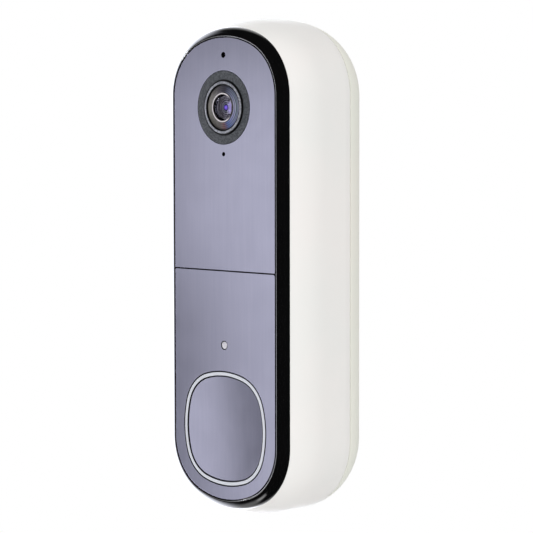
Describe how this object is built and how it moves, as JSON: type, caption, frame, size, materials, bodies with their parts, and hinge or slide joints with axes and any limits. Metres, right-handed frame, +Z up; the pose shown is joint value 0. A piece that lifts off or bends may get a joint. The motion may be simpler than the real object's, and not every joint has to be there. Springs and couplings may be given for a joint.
{
  "type": "video doorbell",
  "caption": "Tall video doorbell with a soft-ended body, a lens at the top, a large sprung button with a light ring below, and a clip-on wall plate.",
  "frame": {"origin": "centre of the wall plate's wall face", "axes": "+Z up along the body, +Y into the wall, the face looks along -Y, +X to the right of someone who looks at the face"},
  "size_m": [0.047, 0.0354, 0.131],
  "materials": {
    "white_shell": "satin moulded",
    "white_rear": "satin moulded",
    "white_plate": "satin moulded",
    "gloss_black": "polished",
    "gloss_slate": "polished dark smoked",
    "ring_clear": "translucent diffuser",
    "grey_surround": "matte",
    "lens_black": "semi gloss",
    "trim_metal": "turned",
    "cone_metal": "turned, tinted",
    "lens_glass": "coated",
    "black_plastic": "moulded",
    "circuit_board": "solder mask",
    "silicone": "matte",
    "spring_steel": "bright",
    "screw_steel": "zinc plated",
    "brass": "turned",
    "flex_amber": "polyimide",
    "can_metal": "tinned",
    "sensor_glass": "polished",
    "led_clear": "clear",
    "cell_wrap": "shrink wrap"
  },
  "bodies": {
    "unit": {"front_housing": "white_shell", "rear_housing": "white_rear", "housing_seal": "silicone", "bezel": "gloss_black", "panel_tape": "black_plastic", "upper_face_panel": "gloss_slate", "lower_face_panel": "gloss_slate", "button_light_ring": "ring_clear", "button_gasket": "silicone", "button_carrier": "black_plastic", "button_board": "circuit_board", "ring_leds": "led_clear", "button_switch": "black_plastic", "lens_surround": "grey_surround", "lens_outer_ring": "lens_black", "lens_trim_ring": "trim_metal", "lens_cone": "cone_metal", "lens_clamp_ring": "trim_metal", "front_lens": "lens_glass", "inner_lens": "lens_glass", "lens_barrel": "lens_black", "lens_holder": "black_plastic", "image_sensor": "sensor_glass", "camera_board": "circuit_board", "infrared_board": "circuit_board", "infrared_leds": "led_clear", "mic_boots": "silicone", "microphones": "can_metal", "status_window": "led_clear", "status_sensor": "black_plastic", "inner_frame": "black_plastic", "main_board": "circuit_board", "shield_can": "can_metal", "camera_flex": "flex_amber", "button_flex": "flex_amber", "wifi_antenna": "flex_amber", "speaker": "black_plastic", "speaker_mesh": "silicone", "battery_pack": "cell_wrap", "battery_foam": "silicone", "battery_tray": "black_plastic", "rear_board": "circuit_board", "sync_switch": "black_plastic", "terminal_posts": "brass", "terminal_screws": "screw_steel", "terminal_washers": "brass", "case_screws": "screw_steel", "frame_screws": "screw_steel", "board_screws": "screw_steel", "latch_cover": "black_plastic", "wall_plate": "white_plate"},
    "button": {"button_cap": "gloss_slate", "switch_stem": "black_plastic"},
    "latch": {"release_latch": "black_plastic", "latch_spring": "spring_steel"},
    "sync": {"sync_button": "black_plastic"}
  },
  "joints": [
    {"name": "button_press", "type": "slide", "parent": "unit", "child": "button", "axis": [0, 1, 0], "range_m": [0, 0.0006], "stiffness_N_per_m": 2500},
    {"name": "latch_release", "type": "slide", "parent": "unit", "child": "latch", "axis": [0, 0, 1], "range_m": [0, 0.002], "stiffness_N_per_m": 400, "springref_m": -0.001, "deforming": ["latch_spring"]},
    {"name": "sync_press", "type": "slide", "parent": "unit", "child": "sync", "axis": [0, -1, 0], "range_m": [0, 0.0004], "stiffness_N_per_m": 1500}
  ]
}
